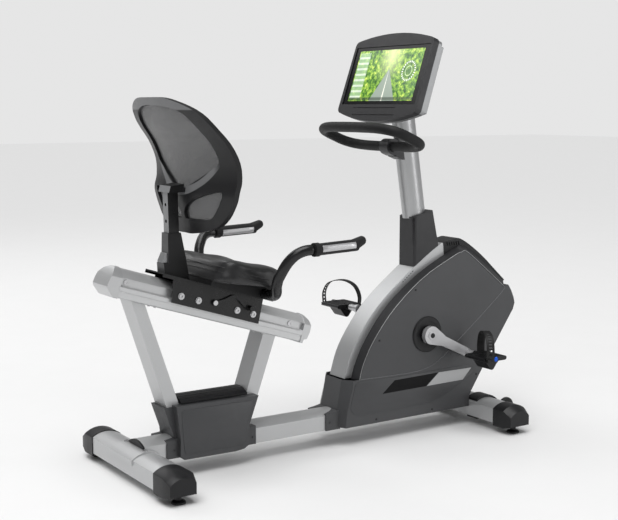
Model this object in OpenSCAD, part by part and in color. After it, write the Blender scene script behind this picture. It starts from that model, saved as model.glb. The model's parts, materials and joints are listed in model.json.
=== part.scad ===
// Recumbent exercise bike: seat on a sloping rail, cranks in a moulded housing, console on a mast.
// +X points from the seat to the console, +Y to the rider's left, +Z up, floor at z = 0.

/* [Base] */
// Length of the rear floor bar's steel part
rear_bar_l = 420; // [400:10:440]
// Length of the front floor bar's steel part
front_bar_l = 400; // [380:10:420]
// Depth of both floor bars, front to back
bar_w = 90; // [86:1:92]
// Width of the base beam
beam_w = 96; // [90:1:98]
// Diameter of a levelling foot
foot_d = 42; // [36:1:46]

/* [Seat rail] */
// Slope of the seat rail, down to the front, in degrees
rail_slope = 17.56; // [17:0.1:18]
// Length of the rail extrusion
rail_l = 638; // [630:1:645]
// Width of each seat post across the bike
post_w = 78; // [70:1:80]
// Depth of each seat post, front to back
post_d = 43; // [38:1:46]

/* [Seat] */
// Width of the seat cushion
cushion_w = 384; // [360:4:400]
// Width of the backrest at its widest
back_w = 500; // [480:4:504]
// Diameter of the side grip tube
grip_tube_d = 32; // [28:1:32]

/* [Drive] */
// Height of the crank axis
crank_z = 330; // [326:1:334]
// Crank length from axis to pedal
crank_l = 173; // [165:1:175]
// Radius of the drive pulley
pulley_r = 95; // [85:1:96]
// Radius of the flywheel
flywheel_r = 108; // [90:1:110]

/* [Housing] */
// Half width of the drive housing
housing_h = 78; // [76:1:80]
// Wall thickness of the mouldings
wall = 3; // [2.5:0.5:3.5]

/* [Console] */
// Height of the display's centre
display_z = 1176; // [1170:1:1180]
// Tilt of the display back from vertical, in degrees
console_tilt = 18.6; // [17:0.1:20]
// Diameter of the handlebar loop's foam
loop_d = 33.5; // [30:0.5:34]

/* [Hidden] */
$fn = 64;

silver = "#b9babc";
bright = "#d9dadb";
graphite = "#56575a";
dark_grey = "#38393b";
black = "#17181a";
mesh_grey = "#4b4c4e";

// Base
rear_bar_x = -655;
front_bar_x = 600;
bar_z0 = 28.5;
bar_side_z = 78;
bar_top_z = 92;
beam_x0 = -649;
beam_z0 = 55;
beam_side_z = 102;
beam_top_z = 115;
cap_l = 90;
front_cap_l = 80;
cap_lip = 2.5;
cap_z0 = 20;
foot_y_rear = 268;
foot_y_front = 248;
foot_h = 11;
stem_r = 5;
wheel_x = 676;
wheel_y = 130;
wheel_z = 56;
wheel_r = 29;
wheel_w = 20;

// Seat tower
tower_h = 70;
tower = [[-555, 212], [-279, 210], [-311, 124], [-311, 63], [-330, 52], [-360, 48.5], [-532, 50.5],
         [-545, 60], [-543, 110]];
tower_nose = [[-583, 206], [-552, 206], [-540, 110], [-549, 108]];
tower_nose_h = 44;
collar_h = 53;
post_foot_z = 100;
rear_post_foot_x = -516;
front_post_foot_x = -322;
rear_post_rail_x = 71;
front_post_rail_x = 528;

// Rail, in its own frame: x down the slope, z square to it
rail_x = -724.8;
rail_z = 545.1;
rail_side_h = 59.3;
rail_top_h = 84;
rail_half = 47;
bulge_half = 50;
slot_z0 = 37.5;
slot_depth = 12;

// Carriage, in the rail's frame
plate_half = 60;
plate_t = 4;
plate_top = 100;
axle_z = 48.4;
axle_xs = [187.8, 246.6, 381.9, 439.3];
bolt_r = 4;
roller_r = 10.4;
running = 0.05;
lever_pivot = [300, 54];
tube_place = [424.5, 0, 116.1];

// Backrest
back_lean = 1.2;
back_post_x = 33;
back_post_y = 32;
back_post_foot = [-527, 640];
back_post_l = 196;
slide_gap = 0.4;
bracket_x = -504;

// Drive
crank_x = 366;
crank_fall = 25.7;
crank_face = 106;
crank_t = 17;
pedal_y = 193;
pedal_len = 96;
spindle_r = 8;
axle_r = 10;
flywheel_x = 600;
flywheel_z = 390;
small_pulley_r = 20;
belt_t = 3;
belt_y = 47;
belt_w = 12;
plate_ys = [-50, 26];
drive_plate_t = 6;

// Console
display_x = 244;
display_w = 388;
display_h = 197;
mast_lean = 8.8;
mast_foot = [366.5, 721];
mast_a = 42;
mast_b = 30;
loop_c = [185, 0, 980];
loop_rise = 22.8;
loop_a = 84;
loop_b = 206;

// ---- helpers ----
// An outline drawn in x and z, thick from y0 to y1
module across(y0, y1) {
    translate([0, y1, 0]) rotate([90, 0, 0]) linear_extrude(y1 - y0) children();
}

// An outline drawn in y and z, long from x0 to x1
module along(x0, x1) {
    translate([x0, 0, 0]) rotate([90, 0, 90]) linear_extrude(x1 - x0) children();
}

module in_rail() {
    translate([rail_x, 0, rail_z]) rotate([0, rail_slope, 0]) children();
}

module in_console() {
    translate([display_x, 0, display_z]) rotate([0, console_tilt, 0]) children();
}

module both_sides() {
    children();
    mirror([0, 1, 0]) children();
}

// Flat-sided outline with an arched top, centred on x = 0
module arched(w, z0, side_z, top_z) {
    rise = top_z - side_z;
    r = (w * w / 4 + rise * rise) / (2 * rise);
    intersection() {
        translate([0, top_z - r]) circle(r, $fn = 128);
        translate([-w / 2, z0]) square([w, top_z - z0 + 1]);
    }
}

module bar_outline(grow = 0) {
    arched(bar_w + 2 * grow, bar_z0 - grow, bar_side_z, bar_top_z + grow);
}

module rod(r, y0, y1) {
    translate([0, y1, 0]) rotate([90, 0, 0]) cylinder(r = r, h = y1 - y0);
}

function unit(v) = v / norm(v);

function spline(a, b, c, d, t) =
    0.5 * ((2 * b) + (c - a) * t + (2 * a - 5 * b + 4 * c - d) * t * t
           + (3 * b - a - 3 * c + d) * t * t * t);

// Smooth curve through points p, with n steps a span
function curve(p, n) = let(m = len(p) - 1)
    concat([for (i = [0 : m - 1]) for (j = [0 : n - 1])
        spline(p[max(i - 1, 0)], p[i], p[i + 1], p[min(i + 2, m)], j / n)], [p[m]]);

function back(p) = [for (i = [len(p) - 1 : -1 : 0]) p[i]];

// Path p moved d to the right of its own direction
function shifted(p, d) = let(n = len(p) - 1)
    [for (i = [0 : n]) let(t = unit(p[min(i + 1, n)] - p[max(i - 1, 0)])) p[i] + d * [t[1], -t[0]]];

function flip(p) = [for (i = [len(p) - 1 : -1 : 0]) [-p[i][0], p[i][1]]];

// One ring of m points about p, square to direction t
function ring(p, t, ref, r, m) = let(s = unit(cross(ref, t)), u = cross(t, s))
    [for (k = [0 : m - 1]) p + r * (cos(360 * k / m) * s + sin(360 * k / m) * u)];

// Strip of thickness d on the right of path p
module ribbon(p, d) {
    polygon(concat(p, back(shifted(p, d))));
}

// Sloping wall between path a at y = ya and path b at y = yb, nearer the middle
module slope_wall(a, ya, b, yb, t) {
    n = len(a);
    a_in = shifted(a, t);
    b_in = shifted(b, t);
    points = [for (i = [0 : n - 1]) each [[a[i][0], ya, a[i][1]], [b[i][0], yb, b[i][1]],
        [b_in[i][0], yb, b_in[i][1]], [a_in[i][0], ya - t, a_in[i][1]], [a_in[i][0], ya, a_in[i][1]]]];
    walls = [for (i = [0 : n - 2]) for (k = [0 : 4]) let(q = i * 5, j = (k + 1) % 5)
        each [[q + k, q + 5 + j, q + j], [q + k, q + 5 + k, q + 5 + j]]];
    ends = [[0, 1, 2, 3, 4], [for (k = [4 : -1 : 0]) (n - 1) * 5 + k]];
    polyhedron(points, concat(walls, ends), convexity = 6);
}

// Round tube swept along points p; closed joins its ends
module tube(p, r, ref, m = 16, closed = false) {
    n = len(p);
    tangents = [for (i = [0 : n - 1]) closed
        ? unit(p[(i + 1) % n] - p[(i + n - 1) % n])
        : unit(p[min(i + 1, n - 1)] - p[max(i - 1, 0)])];
    points = [for (i = [0 : n - 1]) each ring(p[i], tangents[i], ref, r, m)];
    spans = closed ? n : n - 1;
    walls = [for (i = [0 : spans - 1]) for (k = [0 : m - 1])
        [((i + 1) % n) * m + k, ((i + 1) % n) * m + (k + 1) % m, i * m + (k + 1) % m, i * m + k]];
    ends = closed ? [] : [[for (k = [0 : m - 1]) k], [for (k = [m - 1 : -1 : 0]) (n - 1) * m + k]];
    polyhedron(points, concat(walls, ends), convexity = 6);
}

// Closed sheet between a front and a back grid of nu by nv points
module sheet(front, back, nu, nv) {
    k = nu * nv;
    faces_front = [for (i = [0 : nu - 2]) for (j = [0 : nv - 2]) let(a = i * nv + j)
        each [[a, a + nv + 1, a + 1], [a, a + nv, a + nv + 1]]];
    faces_back = [for (f = faces_front) [k + f[2], k + f[1], k + f[0]]];
    rim = concat([for (i = [0 : nu - 1]) i * nv], [for (j = [1 : nv - 1]) (nu - 1) * nv + j],
                 [for (i = [nu - 2 : -1 : 0]) i * nv + nv - 1], [for (j = [nv - 2 : -1 : 1]) j]);
    m = len(rim);
    faces_rim = [for (i = [0 : m - 1]) let(a = rim[i], b = rim[(i + 1) % m])
        each [[a, k + a, k + b], [a, k + b, b]]];
    polyhedron(concat(front, back), concat(faces_front, faces_back, faces_rim), convexity = 6);
}

// ---- base ----
module beam_solid() {
    along(beam_x0, front_bar_x - bar_w / 2) arched(beam_w, beam_z0, beam_side_z, beam_top_z);
}

module base_beam() {
    color(silver) difference() {
        beam_solid();
        along(beam_x0 - 1, front_bar_x)
            arched(beam_w - 2 * wall, beam_z0 + wall, beam_side_z, beam_top_z - wall);
        across(-beam_w, beam_w) translate([rear_bar_x, 0]) bar_outline(4);
    }
}

module saddle_plate() {
    difference() {
        across(-75, 75) difference() {
            bar_outline(4);
            bar_outline();
            translate([-bar_w, 0]) square([2 * bar_w, bar_side_z - 14]);
        }
        for (y = [-62, 62]) translate([0, y, 0]) cylinder(r = 4.2, h = 200);
    }
}

module rear_bar() {
    color(silver) translate([rear_bar_x, 0, 0]) {
        difference() {
            across(-rear_bar_l / 2, rear_bar_l / 2) bar_outline();
            across(-rear_bar_l, rear_bar_l) bar_outline(-wall);
            for (y = [-62, 62]) translate([0, y, 60]) cylinder(r = 4.2, h = 200);
        }
        saddle_plate();
    }
}

module wheel_fork() {
    ear_t = 4;
    gap = wheel_w / 2 + 1.5;
    for (s = [-1, 1])
        across(s * (gap + ear_t / 2) - ear_t / 2, s * (gap + ear_t / 2) + ear_t / 2)
            hull() {
                translate([front_bar_x + bar_w / 2, bar_z0 + 12]) square([1, 34]);
                translate([wheel_x, wheel_z]) circle(11);
            }
    translate([wheel_x, 0, wheel_z]) rod(stem_r, -gap - ear_t, gap + ear_t);
}

module front_bar() {
    color(silver) {
        translate([front_bar_x, 0, 0]) difference() {
            across(-front_bar_l / 2, front_bar_l / 2) bar_outline();
            across(-front_bar_l, front_bar_l) bar_outline(-wall);
        }
        for (s = [-1, 1]) translate([0, s * wheel_y, 0]) wheel_fork();
    }
}

module end_cap(x, y0, l, foot_y) {
    w = bar_w / 2 + cap_lip;
    translate([x, y0, 0]) difference() {
        hull() {
            across(0, l * 0.62) arched(2 * w, cap_z0, bar_side_z, bar_top_z + cap_lip);
            across(l - 6, l) arched(1.7 * w, cap_z0 + 8, bar_side_z - 18, bar_top_z - 14);
        }
        translate([0, foot_y - y0, cap_z0 - 1]) cylinder(r = stem_r + running, h = 46);
    }
}

module beam_plug() {
    along(beam_x0 - 6, beam_x0) intersection() {
        arched(beam_w, beam_z0, beam_side_z, beam_top_z);
        translate([-beam_w, bar_top_z + 5]) square([2 * beam_w, 60]);
    }
}

module bar_end_caps() {
    color(black) {
        both_sides() {
            end_cap(rear_bar_x, rear_bar_l / 2, cap_l, foot_y_rear);
            end_cap(front_bar_x, front_bar_l / 2, front_cap_l, foot_y_front);
        }
        beam_plug();
    }
}

module foot(x, y) {
    color(black) translate([x, y, 0]) rotate_extrude() polygon([[0, 0], [foot_d / 2 - 1.5, 0],
        [foot_d / 2, 1.5], [foot_d / 2, 6], [foot_d / 2 - 5, foot_h - 1.5], [9, foot_h],
        [9, cap_z0 - 1], [stem_r, cap_z0 - 1], [stem_r, 60], [0, 60]]);
}

module foot_rear_right() { foot(rear_bar_x, -foot_y_rear); }

module foot_rear_left() { foot(rear_bar_x, foot_y_rear); }

module foot_front_right() { foot(front_bar_x, -foot_y_front); }

module foot_front_left() { foot(front_bar_x, foot_y_front); }

module transport_wheel(y) {
    h = wheel_w / 2;
    color(black) translate([wheel_x, y, wheel_z]) rotate([90, 0, 0]) rotate_extrude() polygon([
        [stem_r + running, -h], [wheel_r - 8, -h], [wheel_r - 6, 2 - h], [wheel_r - 3, 1 - h],
        [wheel_r, -4], [wheel_r, 4], [wheel_r - 3, h - 1], [wheel_r - 6, h - 2], [wheel_r - 8, h],
        [stem_r + running, h]]);
}

module wheel_right() { transport_wheel(-wheel_y); }

module wheel_left() { transport_wheel(wheel_y); }

// ---- seat tower ----
module post_outline(foot_x, rail_pos) {
    slope = tan(rail_slope);
    top_x = rail_x + rail_pos * cos(rail_slope);
    top_z = rail_z - rail_pos * sin(rail_slope);
    h = post_d / 2;
    polygon([[foot_x - h, post_foot_z], [top_x - h, top_z + h * slope], [top_x + h, top_z - h * slope],
             [foot_x + h, post_foot_z]]);
}

module seat_post(foot_x, rail_pos) {
    difference() {
        across(-post_w / 2, post_w / 2) post_outline(foot_x, rail_pos);
        across(wall - post_w / 2, post_w / 2 - wall) offset(delta = -wall) post_outline(foot_x, rail_pos);
        beam_solid();
    }
}

module rear_post() {
    color(silver) seat_post(rear_post_foot_x, rear_post_rail_x);
}

module front_post() {
    color(silver) seat_post(front_post_foot_x, front_post_rail_x);
}

module tower_half() {
    difference() {
        union() {
            across(0, tower_h) polygon(tower);
            across(0, tower_nose_h) polygon(tower_nose);
            for (x = [[-580, -540], [-315, -279]])
                across(0, collar_h) polygon([[x[0], 55], [x[1], 55], [x[1], 112], [x[0], 109]]);
        }
        across(-1, tower_h - wall) offset(delta = -wall) polygon(tower);
        across(-1, tower_nose_h - wall) polygon([[-579, 203], [-545, 203], [-535, 112], [-547, 112]]);
        along(-700, -270) arched(beam_w + 0.6, beam_z0 - 60, beam_side_z, beam_top_z + 0.3);
        post_outline_cut(rear_post_foot_x, rear_post_rail_x);
        post_outline_cut(front_post_foot_x, front_post_rail_x);
        for (p = [[-498, 193], [-342, 191]]) translate([p[0], tower_h, p[1]]) rod(5, -2, 2);
        for (p = [[-558, 80], [-293, 78]]) translate([p[0], collar_h, p[1]]) rod(4, -2, 2);
    }
}

module post_outline_cut(foot_x, rail_pos) {
    across(-post_w / 2, post_w / 2) post_outline(foot_x, rail_pos);
}

module tower_cover_right() {
    color(graphite) mirror([0, 1, 0]) tower_half();
}

module tower_cover_left() {
    color(graphite) tower_half();
}

module step_cover() {
    rib_ys = [-36, -22, -8, 8, 22, 36];
    color(black) difference() {
        along(-530, -306) difference() {
            arched(98, 212, 218, 232);
            arched(92, 211, 216, 229);
        }
        for (y = rib_ys) along(-531, -305) translate([y, 232.6 - y * y / 170]) circle(1.6, $fn = 16);
        post_outline_cut(rear_post_foot_x, rear_post_rail_x);
        post_outline_cut(front_post_foot_x, front_post_rail_x);
    }
}

module rail_outline() {
    r = (rail_half * rail_half + pow(rail_top_h - rail_side_h, 2)) / (2 * (rail_top_h - rail_side_h));
    intersection() {
        translate([0, rail_top_h - r]) circle(r, $fn = 128);
        translate([-rail_half, rail_side_h]) square([2 * rail_half, 60]);
    }
    lower = [[bulge_half - slot_depth, rail_side_h + 2], [bulge_half - slot_depth, slot_z0], [46, slot_z0],
             [bulge_half, 32.6], [bulge_half, 22], [47.5, 19], [47.5, 3], [44.5, 0]];
    polygon(concat(lower, flip(lower)));
}

module seat_rail() {
    color(bright) in_rail() difference() {
        along(0, rail_l) rail_outline();
        along(-1, rail_l + 1) {
            translate([-35, 4]) square([70, 28]);
            translate([-33, 36]) square([66, 20]);
            translate([-28, 60]) square([56, 14]);
        }
    }
}

module rail_end_caps() {
    rear = [[0, 0], [0, rail_top_h + 2], [-15, rail_top_h + 2], [-25, 76], [-33, 60], [-38, 42], [-40, 25],
            [-36, 17], [-14, -2], [0, -2]];
    front = [[0, -2], [0, rail_top_h + 2], [8, rail_top_h], [20, 72], [26, 56], [27, 36], [22, 14], [12, 10],
             [10, -2]];
    color(silver) in_rail() {
        intersection() {
            across(-52, 52) polygon(rear);
            along(-60, 0) arched(100, -10, 57, rail_top_h + 2);
        }
        intersection() {
            translate([rail_l, 0, 0]) across(-52, 52) polygon(front);
            along(rail_l, rail_l + 60) arched(100, -10, 57, rail_top_h + 2);
        }
    }
}

module screw(r, l) {
    difference() {
        union() {
            cylinder(r = r, h = 2.4);
            translate([0, 0, -l]) cylinder(r = r / 2, h = l + 0.1);
        }
        translate([0, 0, 1]) cylinder(r = r / 2.2, h = 3, $fn = 6);
    }
}

module frame_screws() {
    color(dark_grey) {
        for (y = [-62, 62]) translate([rear_bar_x, y, bar_top_z + 4]) screw(8, 12);
        both_sides() in_rail() for (x = [19, 591])
            translate([x, -38, axle_z]) rotate([90, 0, 0]) screw(8, 8);
        in_rail() for (x = [106, 126, 470, 500]) translate([x, -38, 0]) rotate([180, 0, 0]) screw(3.5, 4);
    }
}

// ---- housing ----
nose_half = 41;
lower_nose_half = 45;
nose = curve([[57, 211], [92, 308], [175, 421], [280, 511], [430, 612], [505, 634], [545, 630], [630, 573],
              [738, 478]], 5);
trim_outer = curve([[83, 207], [100, 259], [140, 332], [220, 429], [340, 521], [470, 588], [510, 605],
                    [545, 611], [630, 559], [734, 475]], 5);
trim_inner = curve([[92, 211], [108, 263], [150, 336], [230, 429], [350, 522], [480, 585], [510, 594],
                    [532, 595], [600, 545], [704, 462]], 5);
seam = curve([[93, 211], [255, 208], [345, 212], [412, 233], [513, 304], [655, 411], [708, 456],
              [724, 466]], 4);
lower_rear_out = curve([[24, 59.5], [24, 88], [26, 116], [35, 160], [44, 211]], 3);
lower_rear_in = curve([[40, 59.5], [42, 88], [46, 116], [58, 160], [70, 211]], 3);
lower_front = [[46, 59.5], [470, 59.5], [553, 60.5], [553, 92], [563, 113], [634, 219], [730, 353],
               [748, 379], [755, 400], [750, 420], [737, 447], [724, 466]];

module over_seam() {
    polygon(concat([[-60, 211]], seam, [[800, 512], [800, 700], [-60, 700]]));
}

module nose_side() {
    intersection() {
        polygon(concat(nose, back(shifted(trim_outer, 8))));
        over_seam();
    }
}

module nose_shell() {
    difference() {
        union() {
            across(-nose_half, nose_half) intersection() {
                ribbon(nose, wall);
                over_seam();
            }
            both_sides() across(nose_half - wall, nose_half) nose_side();
        }
        mast_solid(-200, 60);
    }
}

module spine() {
    color(bright) intersection() {
        nose_shell();
        across(-50, 50) polygon([[0, 100], [0, 700], [452, 700], [474, 500], [474, 100]]);
    }
}

module top_cap() {
    color(black) {
        difference() {
            nose_shell();
            across(-50, 50) polygon([[0, 100], [0, 700], [452, 700], [474, 500], [474, 100]]);
        }
        both_sides() for (x = [480 : 10 : 530]) across(nose_half, nose_half + 3)
            translate([x, 620]) rotate(14) square([5, 12], center = true);
    }
}

module trim_bands() {
    color(dark_grey) both_sides() slope_wall(trim_inner, housing_h, trim_outer, nose_half, wall);
}

module shroud_half() {
    h = housing_h;
    edge = shifted(trim_inner, wall);
    difference() {
        across(h - wall, h) polygon(concat([[96, 211]], [for (i = [1 : len(edge) - 1]) edge[i]],
            [for (i = [len(seam) - 1 : -1 : 1]) seam[i]]));
        translate([crank_x, 0, crank_z]) rod(29, -100, 100);
        for (p = [[316, 482], [170, 330]]) translate([p[0], h, p[1]]) rod(4, -1.5, 1.5);
    }
}

module shroud_right() {
    color(graphite) mirror([0, 1, 0]) shroud_half();
}

module shroud_left() {
    color(graphite) shroud_half();
}

module lower_half() {
    h = housing_h;
    rear = shifted(lower_rear_in, wall);
    difference() {
        union() {
            across(h - wall, h) polygon(concat(rear, seam, back(lower_front)));
            slope_wall(lower_rear_in, h, lower_rear_out, lower_nose_half, wall);
            across(0, lower_nose_half) ribbon(lower_rear_out, wall);
            across(0, h - 0.5) ribbon(lower_front, -wall);
            across(0, h - 0.5) ribbon([[704, 452.7], [724, 466]], wall);
            across(0, collar_h) polygon([[-20, 54], [34, 54], [34, 116], [10, 111], [-20, 107]]);
        }
        along(-30, front_bar_x) arched(beam_w + 0.6, beam_z0 - 0.3, beam_side_z, beam_top_z + 0.3);
        for (p = [[160, 72], [392, 72], [584, 168], [84, 197]]) translate([p[0], h, p[1]]) rod(4, -1.5, 1.5);
        translate([-8, collar_h, 80]) rod(4, -1.5, 1.5);
    }
}

module lower_cover_right() {
    color(graphite) mirror([0, 1, 0]) lower_half();
}

module lower_cover_left() {
    color(graphite) lower_half();
}

module bar_sleeves() {
    color(black) translate([front_bar_x, 0, 0]) both_sides() across(62, 112) difference() {
        bar_outline(8);
        bar_outline();
        translate([-bar_w / 2 - 20, 0]) square([25, 200]);
    }
}

// ---- drive ----
module drive_plate_outline() {
    difference() {
        hull() {
            translate([crank_x, crank_z]) circle(40);
            translate([300, beam_side_z - 2]) square([248, 10]);
            translate([flywheel_x, flywheel_z]) circle(26);
        }
        translate([452, 236]) circle(70);
    }
}

module drive_frame() {
    bearing_r = 18;
    color(dark_grey) difference() {
        union() {
            for (y = plate_ys) across(y, y + drive_plate_t) drive_plate_outline();
            translate([crank_x, 0, crank_z]) rod(24, plate_ys[0], plate_ys[1] + drive_plate_t);
        }
        beam_solid();
        translate([crank_x, 0, crank_z]) rod(bearing_r, -80, 80);
        translate([flywheel_x, 0, flywheel_z]) rod(8 + running, -80, 80);
    }
}

module crank_bearings() {
    color(bright) translate([crank_x, 0, crank_z]) for (y = [plate_ys[0], plate_ys[1] + drive_plate_t - 12])
        translate([0, y, 0]) difference() {
            rod(18, 0, 12);
            rod(axle_r + running, -1, 13);
        }
}

module belt_loop(grow) {
    hull() {
        translate([crank_x, crank_z]) circle(pulley_r + grow, $fn = 96);
        translate([flywheel_x, flywheel_z]) circle(small_pulley_r + grow, $fn = 48);
    }
}

module drive_belt() {
    color(black) across(belt_y - belt_w / 2, belt_y + belt_w / 2) difference() {
        belt_loop(belt_t + 0.4);
        belt_loop(0.4);
    }
}

module crank_seals() {
    h = housing_h;
    color(black) translate([crank_x, 0, crank_z]) both_sides() rotate([-90, 0, 0]) rotate_extrude($fn = 96)
        polygon([[27, h], [60, h], [60, h + 3], [57, h + 5], [46, h + 5], [42, h + 3], [27, h + 3]]);
}

module crank_axle() {
    color(bright) translate([crank_x, 0, crank_z]) rod(axle_r, -98, 98);
}

module drive_pulley() {
    color(dark_grey) translate([crank_x, 0, crank_z]) difference() {
        translate([0, belt_y, 0]) rotate([-90, 0, 0]) rotate_extrude($fn = 96) polygon([
            [axle_r, -9], [24, -9], [24, -3], [pulley_r - 10, -3], [pulley_r - 10, -7], [pulley_r, -7],
            [pulley_r, 7], [pulley_r - 10, 7], [pulley_r - 10, 3], [24, 3], [24, 9], [axle_r, 9]]);
        for (a = [0 : 60 : 300]) rotate([0, a, 0]) translate([56, 0, 0]) rod(16, 20, 80);
    }
}

// Crank on the +Y side, its arm along +X before turning
module crank_arm() {
    hub_r = 30;
    difference() {
        union() {
            across(crank_face - crank_t, crank_face) difference() {
                hull() {
                    circle(hub_r);
                    translate([46, 0]) circle(19);
                }
                translate([80, 0]) square([40, 80], center = true);
            }
            across(crank_face - crank_t + 2, crank_face) hull() {
                translate([40, 0]) circle(17);
                translate([crank_l, 0]) circle(14);
            }
            rod(24, housing_h + 5.5, crank_face - 1);
        }
        rod(axle_r, 70, 98);
    }
    rod(hub_r / 2, crank_face, crank_face + 2);
    translate([crank_l, 0, 0]) {
        rod(spindle_r, crank_face - crank_t + 4, pedal_y + pedal_len / 2 - 8);
        rod(11, crank_face, pedal_y - pedal_len / 2 - 6);
    }
}

module crank_right() {
    color(bright) translate([crank_x, 0, crank_z]) rotate([0, crank_fall, 0]) mirror([0, 1, 0]) crank_arm();
}

module crank_left() {
    color(bright) translate([crank_x, 0, crank_z]) rotate([0, 180 + crank_fall, 0]) crank_arm();
}

pedal_dx = crank_l * cos(crank_fall);
pedal_dz = -crank_l * sin(crank_fall);

// Pedal about its spindle, on the +Y side
module pedal_body() {
    half = pedal_len / 2;
    translate([0, pedal_y, 0]) difference() {
        union() {
            across(-half, half) difference() {
                hull() for (x = [-42, 42]) translate([x, 2]) circle(7);
                translate([-60, 12]) square([120, 20]);
            }
            across(16 - half, half - 16) hull() {
                translate([0, 2]) square([66, 6], center = true);
                translate([0, -26]) circle(11);
            }
            translate([0, -half, 0]) rod(13, -5, 20);
            translate([0, half, 0]) rod(12, -17, 2);
        }
        rod(spindle_r + running, -half - 6, half - 7);
        for (x = [-38 : 12.6 : 40]) translate([x - 2, -half + 8, 7.5]) cube([4, pedal_len - 16, 3]);
    }
}

strap_turn = 28;
strap_half = 65;

module strap() {
    width = 26;
    arch = curve([[-strap_half, -2], [-strap_half - 3, 34], [-strap_half + 16, 70], [-8, 86],
                  [strap_half - 22, 76], [strap_half + 1, 42], [strap_half, -2]], 6);
    translate([0, pedal_y, 0]) rotate([0, 0, strap_turn]) along(-width / 2, width / 2) ribbon(arch, 2.5);
    for (s = [-1, 1])
        translate([s * -31, pedal_y + s * (pedal_len / 2 + 5.5), 0]) cube([22, 11, 9], center = true);
}

module pedal_right() {
    color(black) translate([crank_x + pedal_dx, 0, crank_z + pedal_dz]) mirror([0, 1, 0]) pedal_body();
}

module pedal_left() {
    color(black) translate([crank_x - pedal_dx, 0, crank_z - pedal_dz]) pedal_body();
}

module strap_right() {
    color(black) translate([crank_x + pedal_dx, 0, crank_z + pedal_dz]) mirror([0, 1, 0]) strap();
}

module strap_left() {
    color(black) translate([crank_x - pedal_dx, 0, crank_z - pedal_dz]) strap();
}

module flywheel() {
    color(silver) translate([flywheel_x, 0, flywheel_z]) {
        rotate([-90, 0, 0]) rotate_extrude($fn = 96) polygon([[0, -58], [8, -58], [8, -36], [20, -36],
            [20, -26], [flywheel_r - 26, -26], [flywheel_r - 26, -36], [flywheel_r, -36], [flywheel_r, -8],
            [flywheel_r - 26, -8], [flywheel_r - 26, -18], [20, -18], [20, -6], [8, -6], [8, belt_y - 9],
            [small_pulley_r, belt_y - 9], [small_pulley_r, belt_y + 9], [8, belt_y + 9], [8, 60], [0, 60]]);
    }
}

// ---- console ----
module mast_outline(grow = 0) {
    scale([(mast_a + grow) / mast_a, (mast_b + grow) / mast_b]) scale([1, mast_b / mast_a]) circle(mast_a);
}

module mast_solid(z0, z1, grow = 0) {
    translate([mast_foot[0], 0, mast_foot[1]]) rotate([0, -mast_lean, 0]) translate([0, 0, z0])
        linear_extrude(z1 - z0) mast_outline(grow);
}

module mast() {
    color(bright) difference() {
        union() {
            mast_solid(-4, 460);
            mast_solid(-170, 0, -14);
        }
        mast_solid(0, 440, -3);
        mast_solid(-171, 1, -17);
        in_console() translate([-300, -300, -500]) cube([300 + 53, 600, 1000]);
    }
}

// Slanted block that the sleeve is cut from
module mast_sleeve_solid(inset) {
    h = 42;
    intersection() {
        across(inset - h, h - inset) offset(delta = -inset)
            polygon([[338, 520], [333, 716], [412, 737], [443, 600], [450, 560], [430, 520]]);
        linear_extrude(900) translate([391, 0]) offset(r = 14) square([116 - 28, 2 * h - 28], center = true);
    }
}

module mast_sleeve() {
    color(dark_grey) difference() {
        mast_sleeve_solid(0);
        mast_sleeve_solid(wall);
        mast_solid(-4, 60);
        across(-80, 80) polygon(concat(nose, [[738, 300], [57, 0]]));
    }
}

loop_path = [for (i = [0 : 71]) let(a = i * 5, c = cos(a), s = sin(a), p = 2 / 3.4,
    u = loop_a * sign(c) * pow(abs(c), p), v = loop_b * sign(s) * pow(abs(s), p))
    loop_c + [u * cos(loop_rise), v, -u * sin(loop_rise)]];

module handlebar_loop() {
    color(black) tube(loop_path, loop_d / 2, [sin(loop_rise), 0, cos(loop_rise)], 16, true);
}

loop_front = [loop_c[0] + loop_a * cos(loop_rise), loop_c[2] - loop_a * sin(loop_rise)];

module handlebar_clamp() {
    color(dark_grey) difference() {
        across(-22, 22) hull() {
            translate(loop_front) circle(26);
            translate([300, 905]) square([20, 26]);
        }
        translate([loop_front[0], 0, loop_front[1]]) rod(loop_d / 2, -40, 40);
        mast_solid(0, 400);
        translate([loop_front[0] + 8, 0, 918]) rod(3.5, -40, 40);
    }
}

module console_outline(inset = 0) {
    top_r = 864;
    bottom_r = 713;
    offset(delta = -inset) offset(r = 18) offset(delta = -18) intersection() {
        translate([0, 141 - top_r]) circle(top_r, $fn = 360);
        translate([0, bottom_r - 155]) circle(bottom_r, $fn = 360);
        polygon([[-203, 200], [203, 200], [211, -200], [-211, -200]]);
    }
}

module console_front() {
    color(dark_grey) in_console() difference() {
        along(-3, 18) console_outline();
        along(-4, 3) square([display_w, display_h], center = true);
        along(8, 19) offset(delta = -wall) console_outline();
        for (z = [-110, -134]) translate([-5, -100, z - 1.5]) cube([4, 220, 3]);
    }
}

module console_back() {
    color(silver) in_console() difference() {
        union() {
            along(18, 34) console_outline(3);
            along(34, 53) console_outline(16);
        }
        along(17, 31) console_outline(6);
        along(25, 50) console_outline(19);
        for (y = [-90 : 20 : 90]) translate([49, y - 4, 40]) cube([10, 8, 46]);
    }
}

module display() {
    color(black) in_console() along(0, 3) square([display_w, display_h], center = true);
}

// ---- seat ----
module carriage() {
    outline = [[164, 24], [467, 24], [461, plate_top], [116, plate_top], [116, 89], [150, 89]];
    color(black) in_rail() difference() {
        across(-plate_half, plate_half) polygon(outline);
        translate([0, plate_t - plate_half, -1])
            cube([600, 2 * (plate_half - plate_t), plate_top - plate_t + 1]);
        for (x = axle_xs) translate([x, 0, axle_z]) rod(bolt_r, -80, 80);
        translate([lever_pivot[0], 0, lever_pivot[1]]) rod(bolt_r, -80, 0);
    }
}

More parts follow.
